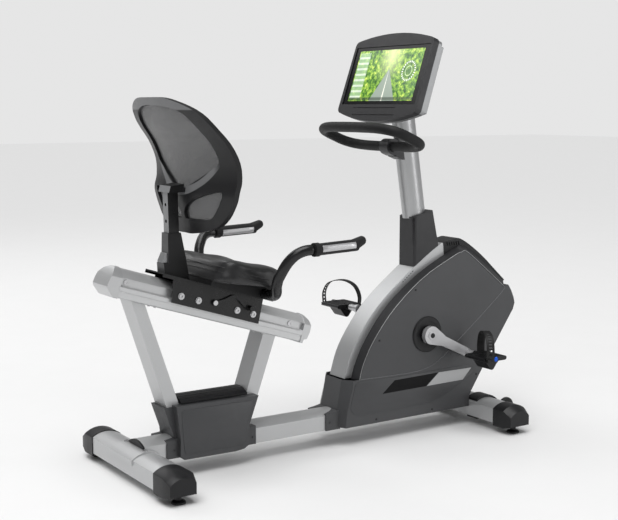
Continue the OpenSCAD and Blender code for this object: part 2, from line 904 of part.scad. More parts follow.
module roller_bolts() {
    color(bright) in_rail() both_sides() for (x = axle_xs) translate([x, 0, axle_z]) difference() {
        union() {
            rod(bolt_r, slot_y() + 1, plate_half);
            rod(10, plate_half, plate_half + 3);
            rod(7.5, plate_half + 3, plate_half + 6);
            rod(7, 50, plate_half - plate_t);
        }
        translate([0, plate_half + 7, 0]) rotate([90, 0, 0]) cylinder(r = 3.5, h = 4, $fn = 6);
    }
    color(bright) in_rail() translate([lever_pivot[0], 0, lever_pivot[1]]) {
        rod(bolt_r, -plate_half - 8, plate_t - plate_half);
        rod(7.5, -plate_half - 10, -plate_half - 7.4);
    }
}

function slot_y() = bulge_half - slot_depth;

module rollers(x) {
    color(bright) in_rail() both_sides() translate([x, 0, axle_z]) difference() {
        rod(roller_r, slot_y() + 1.5, 49.5);
        rod(bolt_r + running, 30, 60);
    }
}

module front_rollers() { rollers(axle_xs[3]); }

module rear_rollers() { rollers(axle_xs[0]); }

module seat_pan() {
    color(black) in_rail() difference() {
        across(-120, 120) polygon([[240, plate_top], [458, plate_top], [470, 120], [474, 140.6],
            [395, 136.6], [240, 113.6]]);
        translate(tube_place) rod(grip_tube_d / 2 + slide_gap, -130, 130);
    }
}

module cushion() {
    half = cushion_w / 2;
    color(black) in_rail() intersection() {
        across(-half, half) polygon(concat([[228, 112], [395, 136.6], [480, 141]],
            curve([[484, 165], [470, 190], [420, 196], [340, 184], [284, 181], [240, 176], [228, 150]], 4)));
        linear_extrude(400) hull() {
            for (s = [-1, 1]) translate([228 + 55, s * (half - 55)]) circle(55);
            for (s = [-1, 1]) translate([372, s * (half - 110)]) circle(110);
        }
    }
}

module in_back_post() {
    translate([back_post_foot[0], 0, back_post_foot[1]]) rotate([0, -back_lean, 0]) children();
}

module post_block(grow, z0, z1) {
    in_back_post() translate([-back_post_x / 2 - grow, -back_post_y / 2 - grow, z0])
        cube([back_post_x + 2 * grow, back_post_y + 2 * grow, z1 - z0]);
}

pin_z = 642;

module post_cover() {
    y_base = 26;
    y_top = 20;
    color(black) difference() {
        intersection() {
            across(-y_base, y_base) polygon([[-563, 580], [-566, 628], [-551, 628], [-551, 658], [-550, 714],
                                             [-508, 714], [-496, 650], [-482, 560]]);
            along(-600, -400) polygon([[-y_base, 540], [y_base, 540], [y_top, 716], [-y_top, 716]]);
        }
        in_rail() translate([0, -100, -20]) cube([400, 200, plate_top + 20]);
        post_block(slide_gap, -46, 160);
        translate([-500, 0, pin_z]) rotate([0, -90, 0]) cylinder(r = 4 + running, h = 100);
    }
}

module height_pin() {
    color(silver) {
        across(-17, 17) polygon([[-567, 629], [-567, 634], [-556, 657], [-551.5, 657], [-551.5, 629]]);
        translate([-552, 0, pin_z]) rotate([0, 90, 0]) cylinder(r = 4, h = 7.5);
    }
}

module back_post() {
    color(dark_grey) difference() {
        union() {
            post_block(0, 0, back_post_l);
            across(-34, 34) polygon([[-552, 832], [bracket_x, 832], [bracket_x, 856], [-546, 851]]);
        }
        for (z = [60, 108, 156])
            in_back_post() translate([0, 0, z]) rotate([0, -90, 0]) cylinder(r = 5, h = 60);
    }
}

// Backrest surface: middle-line x, and how far the sides wrap forward
back_side = curve([[690, -476], [750, -480], [815, -492], [840, -492], [870, -485], [920, -488],
                   [975, -512], [1035, -555], [1125, -601]], 3);
back_wrap = 42;
back_nv = 17;

function back_grid(x_shift) = [for (p = back_side) for (j = [0 : back_nv - 1])
    let(y = (2 * j / (back_nv - 1) - 1) * (back_w / 2 + 12))
    [p[1] + back_wrap * pow(y / 250, 2) + x_shift, y, p[0]]];

// Part of the backrest's curved sheet, from b behind its middle to f in front
module back_slab(b, f) {
    sheet(back_grid(f), back_grid(-b), len(back_side), back_nv);
}

module mirrored_outline(right_half) {
    polygon(concat(right_half, flip(right_half)));
}

k_back = back_w / 500;
back_outer = curve([[0, 712], [60, 714], [170, 741], [236, 804], [250, 860], [240, 980], [204, 1058],
                    [100, 1098], [0, 1103]], 5);
upper_window = curve([[0, 845], [33, 847], [162, 906], [188, 935], [172, 1015], [138, 1059], [70, 1078],
                      [0, 1081]], 4);
lower_window = curve([[12, 754], [14, 779], [60, 809], [180, 839], [202, 826], [155, 769], [110, 756],
                      [12, 754]], 4);

module window_shapes() {
    mirrored_outline(upper_window);
    polygon(lower_window);
    mirror([1, 0]) polygon(lower_window);
}

module back_frame() {
    color(black) {
        intersection() {
            back_slab(8, 8);
            along(-620, -400) scale([k_back, 1]) difference() {
                mirrored_outline(back_outer);
                window_shapes();
            }
        }
        across(-34, 34) polygon([[bracket_x, 832], [-490, 832], [-490, 840], [bracket_x, 846]]);
    }
}

module back_mesh() {
    color(mesh_grey) intersection() {
        back_slab(-1, 3);
        along(-620, -400) scale([k_back, 1]) window_shapes();
    }
}

grip_y = 290;
grip_arm = curve([[-312, 238, 588], [-303, 256, 621], [-292, 266, 642], [-275, 278, 661], [-251, 287, 671],
                  [-226, 290, 672]], 4);
grip_bend = curve([[-285, 120, 527.6], [-286, 168, 528.5], [-295, 200, 541], [-308, 222, 564],
                   [-312, 238, 588]], 4);
grip_half = concat([[-285, 0, 527.6], [-285, 60, 527.6]], grip_bend,
                   [for (i = [1 : len(grip_arm) - 1]) grip_arm[i]]);

function mirror_path(p) = [for (i = [len(p) - 1 : -1 : 1]) [p[i][0], -p[i][1], p[i][2]]];

module grip_tube() {
    color(black) tube(concat(mirror_path(grip_half), grip_half), grip_tube_d / 2, [1, 0, -1], 16);
}

module hand_grips() {
    r = 17.5;
    color(black) both_sides() translate([-226, grip_y, 672]) {
        rotate([0, 90, 0]) cylinder(r = 20, h = 16);
        translate([16, 0, 0]) rotate([0, 88, 0]) cylinder(r = r, h = 134);
        hull() {
            translate([140, 0, 5]) sphere(r, $fn = 32);
            translate([168, 0, 16]) sphere(14, $fn = 32);
        }
    }
}

module seat_lever() {
    p = lever_pivot;
    reach = 120;
    path = curve([[p[0], p[1] + 5], [p[0] + 26, 71], [p[0] + 52, 89], [p[0] + 76, 89], [p[0] + 98, 75],
                  [p[0] + reach, 69]], 3);
    color(black) in_rail() difference() {
        union() {
            across(-plate_half - 7, -plate_half - 1) ribbon(path, 10);
            translate([p[0], 0, p[1]]) rod(9, -plate_half - 7, -plate_half - 1);
            translate([p[0] + reach, 0, 64]) rod(8, -plate_half - 22, -plate_half - 1);
        }
        translate([p[0], 0, p[1]]) rod(4 + running, -90, -plate_half + 1);
    }
}

base_beam();
rear_bar();
front_bar();
bar_end_caps();
tower_cover_right();
tower_cover_left();
step_cover();
rear_post();
front_post();
seat_rail();
rail_end_caps();
frame_screws();
spine();
shroud_right();
shroud_left();
trim_bands();
lower_cover_right();
lower_cover_left();
top_cap();
bar_sleeves();
drive_frame();
crank_bearings();
drive_belt();
crank_seals();
mast();
mast_sleeve();
handlebar_loop();
handlebar_clamp();
console_front();
console_back();
display();
crank_axle();
drive_pulley();
crank_right();
crank_left();
pedal_right();
pedal_left();
strap_right();
strap_left();
flywheel();
carriage();
roller_bolts();
seat_pan();
cushion();
post_cover();
back_post();
back_frame();
back_mesh();
height_pin();
grip_tube();
hand_grips();
seat_lever();
front_rollers();
rear_rollers();
foot_rear_right();
foot_rear_left();
foot_front_right();
foot_front_left();
wheel_right();
wheel_left();
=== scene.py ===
import json
import math

import bmesh
import bpy
import numpy as np
from mathutils import Matrix, Vector


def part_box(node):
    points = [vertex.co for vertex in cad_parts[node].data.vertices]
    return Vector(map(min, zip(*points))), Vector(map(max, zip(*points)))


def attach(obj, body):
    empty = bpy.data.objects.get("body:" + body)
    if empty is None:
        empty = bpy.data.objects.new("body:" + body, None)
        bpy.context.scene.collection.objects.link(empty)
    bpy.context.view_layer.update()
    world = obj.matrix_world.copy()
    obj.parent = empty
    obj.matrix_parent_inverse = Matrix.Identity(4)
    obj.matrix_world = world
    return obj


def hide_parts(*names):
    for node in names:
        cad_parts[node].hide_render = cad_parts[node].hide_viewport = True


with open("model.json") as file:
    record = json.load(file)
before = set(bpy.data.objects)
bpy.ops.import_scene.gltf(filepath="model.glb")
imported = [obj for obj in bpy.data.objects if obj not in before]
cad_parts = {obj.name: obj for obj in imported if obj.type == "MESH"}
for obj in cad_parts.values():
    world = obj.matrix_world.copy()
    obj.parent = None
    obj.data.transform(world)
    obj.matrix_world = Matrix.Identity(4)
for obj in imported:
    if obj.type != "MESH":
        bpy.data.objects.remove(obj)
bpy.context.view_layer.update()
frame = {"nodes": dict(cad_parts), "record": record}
nodes = frame["nodes"]
body_of_node = {n: b for b, ns in frame["record"]["behaviour"]["bodies"].items() for n in ns}
slot_of_node = {s["node"]: s["material_slot"] for s in frame["record"]["subparts"]}
MM = 0.001


# ---- camera ----
# place in metres, turn from +Y towards +X and dip below level in radians, lens and sensor in mm
CAMERA_PLACE = (-2.0699, -3.0621, 1.0781)
CAMERA_TURN = 0.58310
CAMERA_DIP = 0.12992
LENS, SENSOR_WIDTH = 68.66, 36
camera_data = bpy.data.cameras.new("camera")
camera_data.sensor_width = SENSOR_WIDTH
camera_data.lens = LENS
camera = bpy.data.objects.new("camera", camera_data)
look = Vector((math.sin(CAMERA_TURN) * math.cos(CAMERA_DIP),
               math.cos(CAMERA_TURN) * math.cos(CAMERA_DIP), -math.sin(CAMERA_DIP)))
camera.location = CAMERA_PLACE
camera.rotation_euler = look.to_track_quat("-Z", "Y").to_euler()
bpy.context.scene.collection.objects.link(camera)
bpy.context.scene.camera = camera


# ---- materials ----
class Graph:
    """A material's node tree, with short names for the nodes it needs."""

    def __init__(self, name):
        self.material = bpy.data.materials.new(name)
        self.material.use_nodes = True
        self.tree = self.material.node_tree
        self.shader = self.tree.nodes["Principled BSDF"]
        self.place = self.tree.nodes.new("ShaderNodeTexCoord").outputs["Object"]

    def node(self, kind, links=None, **values):
        n = self.tree.nodes.new(kind)
        for key, value in values.items():
            setattr(n, key, value)
        for key, value in (links or {}).items():
            if isinstance(value, bpy.types.NodeSocket):
                self.tree.links.new(value, n.inputs[key])
            else:
                n.inputs[key].default_value = value
        return n

    def join(self, out, key):
        self.tree.links.new(out, self.shader.inputs[key])

    def moved(self, scale=(1, 1, 1), turn=(0, 0, 0), place=(0, 0, 0)):
        return self.node("ShaderNodeMapping", {"Vector": self.place, "Scale": scale, "Rotation": turn,
                                               "Location": place}).outputs["Vector"]

    def noise(self, scale, detail=3.0, where=None, rough=0.55):
        links = {"Vector": where or self.place, "Scale": scale, "Detail": detail, "Roughness": rough}
        return self.node("ShaderNodeTexNoise", links).outputs["Fac"]

    def remap(self, value, low, high, out_low, out_high):
        return self.node("ShaderNodeMapRange", {"Value": value, "From Min": low, "From Max": high,
                                                "To Min": out_low, "To Max": out_high}).outputs["Result"]

    def math(self, operation, a, b=0.0):
        return self.node("ShaderNodeMath", {0: a, 1: b}, operation=operation).outputs[0]

    def mix(self, factor, a, b):
        n = self.node("ShaderNodeMix", data_type="RGBA")
        for key, value in ((0, factor), (6, a), (7, b)):
            if isinstance(value, bpy.types.NodeSocket):
                self.tree.links.new(value, n.inputs[key])
            else:
                n.inputs[key].default_value = value
        return n.outputs[2]

    def bump(self, height, strength, distance):
        n = self.node("ShaderNodeBump", {"Height": height, "Strength": strength, "Distance": distance})
        self.join(n.outputs["Normal"], "Normal")


def rgba(c):
    return (c[0], c[1], c[2], 1.0)


def shade(c, k):
    return rgba([min(1.0, v * k) for v in c])


# noise scales that every finish shares, per metre, and the roughness of its clear coat
BROAD_TONES, SCUFFS = 5.0, 38.0
COAT_ROUGHNESS = 0.12


def finish_material(name, colour, rough, metal=0.0, grain=1100.0, bump=0.25, depth=0.0002, vary=0.08,
                    rough_vary=0.07, scale=(1, 1, 1), turn=(0, 0, 0), coat=0.0, sheen=0.0, level=0.5,
                    painted_light_patch=None):
    """A finish with broad tone changes, fine grain in the surface and scuffed roughness.
    The second colour and its mask function are painted light: paler faces where the light falls, or a painted
    highlight strip."""
    g = Graph(name)
    where = g.moved(scale, turn)
    broad = g.noise(BROAD_TONES, 4.0, where)
    fine = g.noise(grain, 2.0, where)
    tone = g.math("ADD", g.math("MULTIPLY", broad, 0.6), g.math("MULTIPLY", fine, 0.4))
    shown = g.mix(g.remap(tone, 0.3, 0.7, 0.0, 1.0), shade(colour, 1 - vary), shade(colour, 1 + vary))
    # painted light: a paler colour laid over the faces the mask picks out
    if painted_light_patch:
        shown = g.mix(painted_light_patch[1](g), shown, g.mix(broad, shade(painted_light_patch[0], 0.93), shade(painted_light_patch[0], 1.07)))
    g.join(shown, "Base Color")
    scuff = g.noise(SCUFFS, 6.0, where, 0.7)
    g.join(g.remap(scuff, 0.3, 0.75, rough - rough_vary, rough + rough_vary), "Roughness")
    g.bump(fine, bump, depth)
    g.shader.inputs["Metallic"].default_value = metal
    g.shader.inputs["Coat Weight"].default_value = coat
    g.shader.inputs["Coat Roughness"].default_value = COAT_ROUGHNESS
    g.shader.inputs["Sheen Weight"].default_value = sheen
    g.shader.inputs["Specular IOR Level"].default_value = level
    return g.material


def leather_material():
    """Soft black upholstery: pebbled cells broken by fine creases."""
    g = Graph("seat_leather")
    pebbles = 420.0
    cells = g.node("ShaderNodeTexVoronoi", {"Vector": g.place, "Scale": pebbles}, feature="DISTANCE_TO_EDGE")
    crease = g.noise(90.0, 5.0)
    height = g.math("ADD", g.remap(cells.outputs["Distance"], 0.0, 0.25, 0.0, 1.0),
                    g.math("MULTIPLY", crease, 0.12))
    tone = g.noise(9.0, 4.0)
    g.join(g.mix(tone, (0.006, 0.006, 0.0065, 1), (0.013, 0.013, 0.014, 1)), "Base Color")
    g.join(g.remap(crease, 0.3, 0.7, 0.33, 0.38), "Roughness")
    g.bump(height, 0.12, 0.0001)
    g.shader.inputs["Sheen Weight"].default_value = 0.08
    return g.material


def mesh_material():
    """Open knitted mesh: rows of small holes, drawn in the sheet's own plane."""
    g = Graph("mesh_fabric")
    flat = g.moved((0, 1, 1), (math.radians(45), 0, 0))
    holes_per_metre = 400.0
    holes = g.node("ShaderNodeTexVoronoi", {"Vector": flat, "Scale": holes_per_metre, "Randomness": 0.0})
    distance = holes.outputs["Distance"]
    thread = g.remap(distance, 0.13, 0.2, 0.0, 1.0)
    tone = g.noise(14.0, 4.0)
    g.join(g.mix(tone, (0.016, 0.0165, 0.018, 1), (0.034, 0.035, 0.037, 1)), "Base Color")
    g.join(g.remap(g.noise(60.0, 4.0), 0.3, 0.7, 0.6, 0.85), "Roughness")
    g.join(thread, "Alpha")
    g.bump(distance, 0.5, 0.0006)
    g.shader.inputs["Sheen Weight"].default_value = 0.3
    return g.material


def glass_material():
    """Glossy dark cover glass with faint smears."""
    g = Graph("screen_glass")
    smear = g.noise(22.0, 5.0)
    g.join(g.mix(smear, (0.003, 0.003, 0.0035, 1), (0.006, 0.006, 0.007, 1)), "Base Color")
    g.join(g.remap(smear, 0.3, 0.7, 0.12, 0.2), "Roughness")
    g.shader.inputs["Specular IOR Level"].default_value = 0.2
    return g.material


# the display's tilt back and the centre of its face; the picture's size in mm
TILT = math.radians(18.6)
DISPLAY_PLACE = Vector((244 * MM, 0, 1176 * MM))
SCREEN_WIDTH, SCREEN_HEIGHT, SCREEN_PROUD = 340, 172, 0.5
# the drawing, in metres from the picture's centre: across, then up
ROAD_ACROSS, ROAD_TOP = 0.012, 0.022
MENU_LEFT, MENU_RIGHT, MENU_TOP = -0.166, -0.108, 0.078
DIAL_ACROSS, DIAL_UP, DIAL_RADIUS = 0.115, 0.012, 0.036
FOOT_BAR_LOW, FOOT_BAR_HIGH = -0.084, -0.074


def picture_material():
    """A made-up forest road with a menu column and a dial, drawn in the screen's own plane."""
    g = Graph("screen_picture")
    # across is to the rider's right and up is along the glass, both in metres from its centre
    split = g.node("ShaderNodeSeparateXYZ", {0: g.place})
    x, y, z = (split.outputs[i] for i in range(3))
    across = g.math("MULTIPLY", y, -1.0)
    up = g.math("ADD", g.math("MULTIPLY", g.math("SUBTRACT", z, DISPLAY_PLACE.z), math.cos(TILT)),
                g.math("MULTIPLY", g.math("SUBTRACT", x, DISPLAY_PLACE.x), math.sin(TILT)))

    def band(value, low, high, soft=0.0012):
        over = g.remap(value, low - soft, low + soft, 0.0, 1.0)
        under = g.remap(value, high - soft, high + soft, 1.0, 0.0)
        return g.math("MULTIPLY", over, under)

    leaves = g.noise(62.0, 9.0, rough=0.72)
    forest = g.node("ShaderNodeValToRGB", {"Fac": leaves})
    ramp = forest.color_ramp
    ramp.elements[0].position = 0.36
    ramp.elements[0].color = (0.012, 0.045, 0.006, 1)
    ramp.elements[1].position = 0.66
    ramp.elements[1].color = (0.80, 0.86, 0.16, 1)
    for position, colour in ((0.46, (0.06, 0.20, 0.02, 1)), (0.55, (0.28, 0.50, 0.05, 1))):
        ramp.elements.new(position).color = colour
    colour = forest.outputs["Color"]
    middle = g.math("ABSOLUTE", g.math("SUBTRACT", across, ROAD_ACROSS))
    glow = g.math("MULTIPLY", g.remap(middle, 0.0, 0.07, 1.0, 0.0),
                  g.remap(up, -0.02, 0.06, 0.0, 1.0))
    colour = g.mix(g.math("MULTIPLY", glow, 0.75), colour, (0.86, 0.95, 0.45, 1))
    # the road narrows upwards to a point a little above the middle
    fall = g.math("SUBTRACT", ROAD_TOP, up)
    edge = g.math("SUBTRACT", g.math("MULTIPLY", fall, 0.62), middle)
    road = g.math("MULTIPLY", g.remap(edge, -0.002, 0.002, 0.0, 1.0),
                  g.remap(fall, 0.0, 0.006, 0.0, 1.0))
    colour = g.mix(road, colour, (0.30, 0.36, 0.30, 1))
    line = g.math("SUBTRACT", g.math("MULTIPLY", fall, 0.035), middle)
    colour = g.mix(g.math("MULTIPLY", road, g.remap(line, -0.0006, 0.0006, 0.0, 1.0)), colour,
                   (0.85, 0.86, 0.75, 1))
    # menu column on the left, with rows
    column = g.math("MULTIPLY", band(across, MENU_LEFT, MENU_RIGHT), band(up, -MENU_TOP, MENU_TOP))
    rows = g.math("GREATER_THAN", g.math("SINE", g.math("MULTIPLY", up, 330.0)), 0.35)
    menu = g.mix(rows, (0.36, 0.55, 0.30, 1), (0.78, 0.86, 0.74, 1))
    colour = g.mix(g.math("MULTIPLY", column, 0.75), colour, menu)
    # round dial on the right
    dx = g.math("SUBTRACT", across, DIAL_ACROSS)
    dz = g.math("SUBTRACT", up, DIAL_UP)
    radius = g.math("SQRT", g.math("ADD", g.math("MULTIPLY", dx, dx), g.math("MULTIPLY", dz, dz)))
    inside = g.math("MULTIPLY", band(radius, -1.0, DIAL_RADIUS), 0.55)
    colour = g.mix(inside, colour, (0.05, 0.14, 0.04, 1))
    turn = g.math("ARCTAN2", dz, dx)
    ticks = g.math("GREATER_THAN", g.math("SINE", g.math("MULTIPLY", turn, 24.0)), 0.1)
    colour = g.mix(g.math("MULTIPLY", band(radius, 0.028, 0.034), ticks), colour, (0.9, 0.95, 0.85, 1))
    colour = g.mix(band(radius, 0.015, 0.017), colour, (0.7, 0.9, 0.5, 1))
    # bar along the foot
    foot_bar = g.math("MULTIPLY", band(up, FOOT_BAR_LOW, FOOT_BAR_HIGH), 0.7)
    colour = g.mix(foot_bar, colour, (0.03, 0.05, 0.03, 1))
    g.join(colour, "Base Color")
    g.join(colour, "Emission Color")
    g.shader.inputs["Emission Strength"].default_value = 0.42
    g.join(g.remap(leaves, 0.3, 0.7, 0.10, 0.16), "Roughness")
    return g.material


RAIL_TURN = math.radians(17.56)
# grain drawn out along the rail
brushed = dict(scale=(0.03, 1, 1), turn=(0, -RAIL_TURN, 0))
MATERIALS = {
    "silver_paint": finish_material("silver_paint", (0.50, 0.505, 0.51), 0.34, 0.55, 700, 0.02, 0.00001, 0.04,
                                    0.02),
    "rail_alloy": finish_material("rail_alloy", (0.58, 0.585, 0.59), 0.32, 0.6, 700, 0.02, 0.00001, 0.03,
                                  0.03, **brushed),
    "cap_alloy": finish_material("cap_alloy", (0.54, 0.545, 0.55), 0.32, 0.6, 700, 0.02, 0.00001, 0.03, 0.01),
    "spine_silver": finish_material("spine_silver", (0.42, 0.425, 0.43), 0.33, 0.6, 700, 0.01, 0.00001, 0.02,
                                    0.01, coat=0.2),
    "graphite_plastic": finish_material("graphite_plastic", (0.062, 0.063, 0.066), 0.42, 0.35, 1300, 0.15,
                                        0.0001, 0.10),
    "dark_plastic": finish_material("dark_plastic", (0.020, 0.020, 0.022), 0.44, 0.1, 1200, 0.15, 0.0001),
    "black_plastic": finish_material("black_plastic", (0.007, 0.007, 0.008), 0.42, 0.0, 1100, 0.25, 0.0001,
                                     0.2, level=0.35),
    "foam_black": finish_material("foam_black", (0.007, 0.007, 0.0075), 0.62, 0.0, 700, 0.5, 0.0003, 0.25,
                                  sheen=0.04, level=0.3),
    "console_silver": finish_material("console_silver", (0.30, 0.305, 0.31), 0.38, 0.6, 700, 0.02, 0.00001,
                                      0.05, 0.02),
    "screen_glass": glass_material(),
    "polished_steel": finish_material("polished_steel", (0.50, 0.50, 0.51), 0.3, 0.6, 700, 0.01, 0.00001,
                                      0.04, 0.02),
    "bolt_steel": finish_material("bolt_steel", (0.55, 0.55, 0.56), 0.28, 0.95, 700, 0.02, 0.00001, 0.06,
                                  0.03),
    "iron": finish_material("iron", (0.22, 0.22, 0.23), 0.45, 0.9, 900, 0.4),
    "black_steel": finish_material("black_steel", (0.007, 0.007, 0.0075), 0.30, 0.1, 1100, 0.1, 0.00005,
                                   0.2, coat=0.1, level=0.4),
    "belt_rubber": finish_material("belt_rubber", (0.009, 0.009, 0.009), 0.55, 0.0, 800, 0.5, vary=0.2,
                                   level=0.35),
    "seat_leather": leather_material(),
    "mesh_fabric": mesh_material(),
}


def painted_lit_rear_faces(g):
    """The faces that look backwards, as the mask for painted light: these faces are drawn paler, as if lit.
    """
    normal = g.tree.nodes["Texture Coordinate"].outputs["Normal"]
    x = g.node("ShaderNodeSeparateXYZ", {0: normal}).outputs[0]
    return g.remap(x, -0.85, -0.7, 1.0, 0.0)


# heights in metres of the painted highlight bands: the crossbar's edges on the middle line, how it climbs
# with y squared, and the top strip
CROSSBAR_LOW, CROSSBAR_HIGH, CROSSBAR_CLIMB = 0.823, 0.8465, 2.46
CROSSBAR_FADE, CROSSBAR_END = 0.16, 0.19
TOP_STRIP = 1.0675


def painted_highlight_back_strips(g):
    """Painted highlight: a pale strip along the backrest's top and the crossbar under its window, on the
    rear-facing faces only.
    """
    split = g.node("ShaderNodeSeparateXYZ", {0: g.place})
    y, z = split.outputs[1], split.outputs[2]
    normal = g.tree.nodes["Texture Coordinate"].outputs["Normal"]
    rear = g.remap(g.node("ShaderNodeSeparateXYZ", {0: normal}).outputs[0], -0.25, -0.1, 1.0, 0.0)
    rise = g.math("SUBTRACT", z, g.math("MULTIPLY", g.math("MULTIPLY", y, y), CROSSBAR_CLIMB))
    bar = g.math("MULTIPLY", g.remap(rise, CROSSBAR_LOW - 0.001, CROSSBAR_LOW + 0.001, 0.0, 1.0),
                 g.remap(rise, CROSSBAR_HIGH - 0.0015, CROSSBAR_HIGH + 0.0015, 1.0, 0.0))
    top = g.remap(z, TOP_STRIP - 0.0015, TOP_STRIP + 0.0015, 0.0, 1.0)
    bar = g.math("MULTIPLY", bar, g.remap(g.math("ABSOLUTE", y), CROSSBAR_FADE, CROSSBAR_END, 1.0, 0.0))
    return g.math("MULTIPLY", rear, g.math("MAXIMUM", bar, top))


SPECIAL = {
    # painted highlight on the backrest's rear-facing top strip and crossbar
    "back_frame": finish_material("black_plastic_painted_highlight", (0.007, 0.007, 0.008), 0.44, 0.0, 1100, 0.2,
                                  0.0001, 0.2, level=0.35, painted_light_patch=((0.16, 0.162, 0.166), painted_highlight_back_strips)),
    # painted light: the post's rear-facing faces are drawn pale grey, as if lit
    "back_post": finish_material("black_steel_painted_lit_rear", (0.006, 0.006, 0.0065), 0.34, 0.0, 1100, 0.1,
                                 0.00005, 0.2, level=0.4, painted_light_patch=((0.22, 0.223, 0.228), painted_lit_rear_faces)),
    # painted light: the cover's rear-facing faces are drawn a little paler, as if lit
    "post_cover": finish_material("black_plastic_painted_lit_rear", (0.006, 0.006, 0.0065), 0.40, 0.0, 1100, 0.2,
                                  0.0001, 0.2, level=0.35, painted_light_patch=((0.07, 0.071, 0.073), painted_lit_rear_faces)),
    "seat_pan": finish_material("black_plastic_pan", (0.006, 0.006, 0.0065), 0.45, 0.0, 1100, 0.2, 0.0001,
                                0.2, level=0.3),
}
label_black = finish_material("label_black", (0.004, 0.004, 0.0045), 0.5, 0.0, 900, 0.05, 0.00005, 0.2,
                              level=0.15)
label_grey = finish_material("label_grey", (0.42, 0.425, 0.43), 0.45, 0.0, 900, 0.02, 0.00001, 0.03, 0.03)
# near black for the vent slots: painted shade for the dark inside the openings
vent_painted_shade = finish_material("vent_painted_shade", (0.008, 0.008, 0.009), 0.6, 0.0, 900, 0.2)
blue_anodised = finish_material("blue_anodised", (0.02, 0.10, 0.55), 0.28, 0.9, 1400, 0.1, 0.0001, 0.06)


# ---- helpers ----
def link(name, mesh, body, material):
    o = bpy.data.objects.new(name, mesh)
    bpy.context.scene.collection.objects.link(o)
    o.data.materials.clear()
    o.data.materials.append(material)
    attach(o, body)
    return o


def applied(o):
    """Turns the object's modifiers into its mesh."""
    graph = bpy.context.evaluated_depsgraph_get()
    mesh = bpy.data.meshes.new_from_object(o.evaluated_get(graph))
    o.modifiers.clear()
    o.data = mesh
    return o


def smooth(mesh, angle=35):
    mesh.shade_smooth()
    mesh.set_sharp_from_angle(angle=math.radians(angle))


# edges sharper than this, in degrees, are rounded
ROUND_ANGLE = 28


def edged(node, width, subdivide=0):
    """A copy of a CAD node's mesh with its edges rounded by width mm, shown in the node's place."""
    b = bmesh.new()
    b.from_mesh(nodes[node].data)
    bmesh.ops.remove_doubles(b, verts=b.verts, dist=0.00006)
    bmesh.ops.dissolve_limit(b, angle_limit=math.radians(1.0), verts=b.verts, edges=b.edges)
    mesh = bpy.data.meshes.new(node + "_look")
    b.to_mesh(mesh)
    b.free()
    paint = SPECIAL.get(node) or MATERIALS[slot_of_node[node]]
    o = link(node + "_look", mesh, body_of_node[node], paint)
    if width:
        m = o.modifiers.new("round", "BEVEL")
        m.width = width * MM
        m.segments = 2
        m.limit_method = "ANGLE"
        m.angle_limit = math.radians(ROUND_ANGLE)
        m.use_clamp_overlap = True
    if subdivide:
        m = o.modifiers.new("fine", "SUBSURF")
        m.levels = m.render_levels = subdivide
    applied(o)
    smooth(o.data)
    o.modifiers.new("flat", "WEIGHTED_NORMAL").keep_sharp = True
    applied(o)
    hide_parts(node)
    return o


def plate(name, outline, y0, y1, body, material, edge=0.6):
    """A flat piece with rounded rims: an outline in x and z, in mm, thick from y0 to y1."""
    b = bmesh.new()
    lower = [b.verts.new((x * MM, y0 * MM, z * MM)) for x, z in outline]
    face = b.faces.new(lower)
    out = bmesh.ops.extrude_face_region(b, geom=[face])
    for v in [g for g in out["geom"] if isinstance(g, bmesh.types.BMVert)]:
        v.co.y = y1 * MM
    bmesh.ops.recalc_face_normals(b, faces=b.faces)
    rims = [e for e in b.edges if e.calc_face_angle(0) > math.radians(25)]
    bmesh.ops.bevel(b, geom=rims, offset=edge * MM, segments=2, profile=0.5, affect="EDGES")
    mesh = bpy.data.meshes.new(name)
    b.to_mesh(mesh)
    b.free()
    smooth(mesh)
    return link(name, mesh, body, material)


CORNER_STEPS = 5


def rounded(points, radius):
    """The outline with its corners turned into curves."""
    result = []
    count = len(points)
    for i, p in enumerate(points):
        p = Vector(p)
        a, c = Vector(points[i - 1]) - p, Vector(points[(i + 1) % count]) - p
        cut = min(radius, a.length * 0.45, c.length * 0.45)
        a, c = p + a.normalized() * cut, p + c.normalized() * cut
        for k in range(CORNER_STEPS + 1):
            t = k / CORNER_STEPS
            result.append(tuple((1 - t) ** 2 * a + 2 * t * (1 - t) * p + t * t * c))
    return result


def circle(centre, radius, count):
    """Points round a circle."""
    return [(centre[0] + radius * math.cos(a), centre[1] + radius * math.sin(a))
            for a in np.linspace(0, 2 * math.pi, count + 1)[:-1]]


def spline(points, steps):
    """A smooth curve through points, with steps to each span."""
    p = [Vector(q) for q in points]
    last = len(p) - 1
    line = []
    for i in range(last):
        a, b, c, d = p[max(i - 1, 0)], p[i], p[i + 1], p[min(i + 2, last)]
        for k in range(steps):
            t = k / steps
            line.append(0.5 * (2 * b + (c - a) * t + (2 * a - 5 * b + 4 * c - d) * t * t
                               + (3 * b - a - 3 * c + d) * t ** 3))
    return line + [p[last]]


def line_tube(name, points, radius, body, material, closed=False):
    """A round cord of material along points, in mm."""
    data = bpy.data.curves.new(name, "CURVE")
    data.dimensions = "3D"
    data.bevel_depth = radius * MM
    data.bevel_resolution = 2
    s = data.splines.new("POLY")
    s.points.add(len(points) - 1)
    for i, p in enumerate(points):
        s.points[i].co = (p[0] * MM, p[1] * MM, p[2] * MM, 1)
    s.use_cyclic_u = closed
    o = bpy.data.objects.new(name, data)
    bpy.context.scene.collection.objects.link(o)
    mesh = bpy.data.meshes.new_from_object(o.evaluated_get(bpy.context.evaluated_depsgraph_get()))
    bpy.data.objects.remove(o)
    smooth(mesh, 60)
    return link(name, mesh, body, material)


